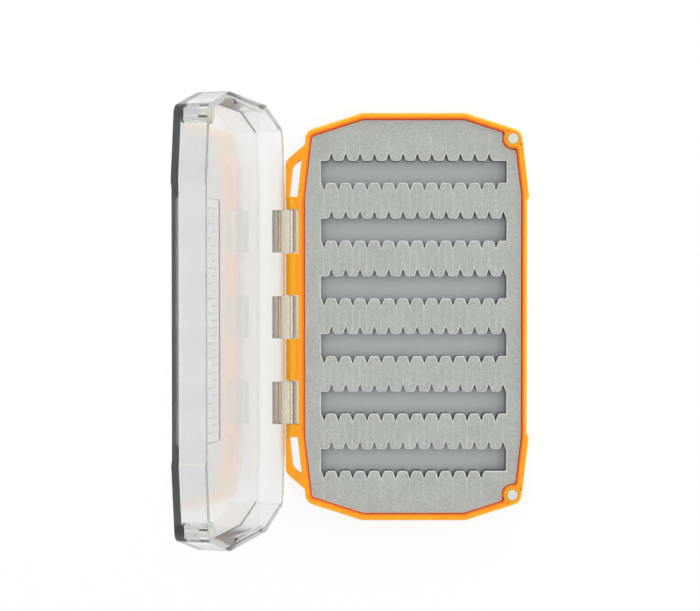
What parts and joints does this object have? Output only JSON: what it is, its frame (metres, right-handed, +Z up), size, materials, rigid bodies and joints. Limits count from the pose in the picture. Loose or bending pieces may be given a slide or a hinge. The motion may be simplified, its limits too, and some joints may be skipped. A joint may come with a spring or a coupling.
{
  "type": "slit-foam fly box",
  "caption": "Pocket case for fishing flies: orange tray lined with notched slit foam, clear smoky lid on a pinned side hinge, magnet catches and slotted lanyard ears.",
  "frame": {"origin": "centre of the tray's flat underside, which the case lies on", "axes": "+X from the hinge towards the latch side, +Y along the case, +Z up out of the open tray"},
  "size_m": [0.1218, 0.15, 0.095],
  "materials": {
    "orange_plastic": "moulded, semi-gloss",
    "adhesive_film": "thin film",
    "smooth_foam": "smooth closed-cell foam skin",
    "slit_foam": "open-textured closed-cell foam",
    "steel": "drawn wire",
    "nickel": "nickel plated",
    "clear_plastic": "clear, faint smoke tint, polished"
  },
  "bodies": {
    "case_base": {"tray": "orange_plastic", "foam_film": "adhesive_film", "foam_backing": "smooth_foam", "foam_mat": "slit_foam", "hinge_pin": "steel", "tray_magnet_lower": "nickel", "tray_magnet_upper": "nickel"},
    "lid": {"lid_shell": "clear_plastic", "lid_magnet_lower": "nickel", "lid_magnet_upper": "nickel"}
  },
  "joints": [
    {"name": "lid_hinge", "type": "hinge", "parent": "case_base", "child": "lid", "pos_m": [-0.0451, 0, 0.0107], "axis": [0, 1, 0], "range_deg": [0, 104.5]}
  ]
}
